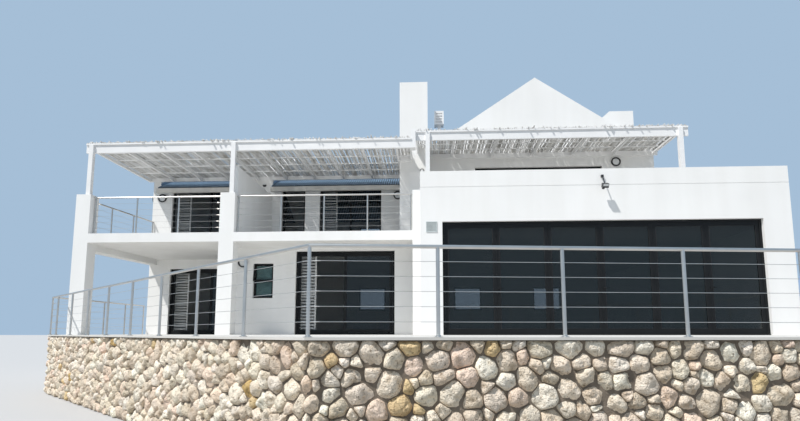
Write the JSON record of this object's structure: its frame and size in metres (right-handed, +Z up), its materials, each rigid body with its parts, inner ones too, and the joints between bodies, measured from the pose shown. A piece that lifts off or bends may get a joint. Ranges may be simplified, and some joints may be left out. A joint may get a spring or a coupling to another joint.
{
  "type": "beach house",
  "caption": "Two-storey white beach house with balcony, lounge block with roof terrace, pergolas and steel cable rails, on a stone-faced terrace; two sliding doors move.",
  "frame": {"origin": "on the underside of the plinth, below the point where the front line of the balcony piers meets the lounge's left face", "axes": "+X along the front from left to right, +Y into the house, +Z up"},
  "size_m": [18.4055, 18.7528, 9.62],
  "materials": {
    "plaster": "painted smooth plaster, bright white",
    "rubble_stone": "rounded rubble stones in mortar, beige and ochre",
    "fill": "earth and rubble fill",
    "paving": "pale screeded paving",
    "stainless": "satin stainless steel",
    "white_timber": "white painted timber poles",
    "white_steel": "white painted steel",
    "roof_sheet": "charcoal corrugated sheet",
    "gutter": "pale grey painted gutter",
    "charcoal_frame": "charcoal powder coated aluminium",
    "door_glass": "dark tinted glass",
    "louvre": "white painted louvre shutters",
    "black_fitting": "black moulded fittings",
    "grille": "pale grey louvred grille"
  },
  "bodies": {
    "house": {"terrace_fill": "fill", "terrace_slab": "paving", "stone_wall_front": "rubble_stone", "stone_wall_left": "rubble_stone", "stone_wall_side": "rubble_stone", "stone_wall_right": "rubble_stone", "stone_wall_back": "rubble_stone", "terrace_rail_front": "stainless", "terrace_rail_left": "stainless", "terrace_rail_side": "stainless", "terrace_rail_right": "stainless", "balcony_piers": "plaster", "balcony_slab": "plaster", "dividing_walls": "plaster", "balcony_rails": "stainless", "wing_floor": "plaster", "wing_side_wall": "plaster", "wing_back_wall": "plaster", "patio_wall_sides": "plaster", "patio_wall_lintel": "plaster", "room_front_wall": "plaster", "room_side_wall": "plaster", "upper_front_wall": "plaster", "wing_roof": "roof_sheet", "eave_gutter": "gutter", "lounge_front_sides": "plaster", "lounge_parapet": "plaster", "lounge_left_wall": "plaster", "lounge_right_wall": "plaster", "lounge_slab": "paving", "gable_wall": "plaster", "main_side_walls": "plaster", "main_back_wall": "plaster", "main_roof": "roof_sheet", "chimney": "plaster", "flue_block": "plaster", "roof_vent": "white_steel", "pergola_posts": "white_steel", "left_pergola_frame": "white_steel", "left_pergola_poles": "white_timber", "right_pergola_frame": "white_steel", "right_pergola_poles": "white_timber", "folding_door_frame": "charcoal_frame", "folding_door_leaves": "charcoal_frame", "folding_door_glass": "door_glass", "sliding_door_frames": "charcoal_frame", "fixed_leaves": "charcoal_frame", "fixed_leaf_glass": "door_glass", "upper_frames": "charcoal_frame", "upper_glass": "door_glass", "window_sash": "charcoal_frame", "louvre_shutters": "louvre", "wall_lamps": "black_fitting", "floodlight": "black_fitting", "vent_grille": "grille"},
    "middle_leaf": {"middle_door_leaf": "charcoal_frame", "middle_door_glass": "door_glass"},
    "patio_leaf": {"patio_door_leaf": "charcoal_frame", "patio_door_glass": "door_glass"}
  },
  "joints": [
    {"name": "middle_door_slide", "type": "slide", "parent": "house", "child": "middle_leaf", "axis": [-1, 0, 0], "range_m": [0, 1.3]},
    {"name": "patio_door_slide", "type": "slide", "parent": "house", "child": "patio_leaf", "axis": [-1, 0, 0], "range_m": [0, 1.25]}
  ]
}
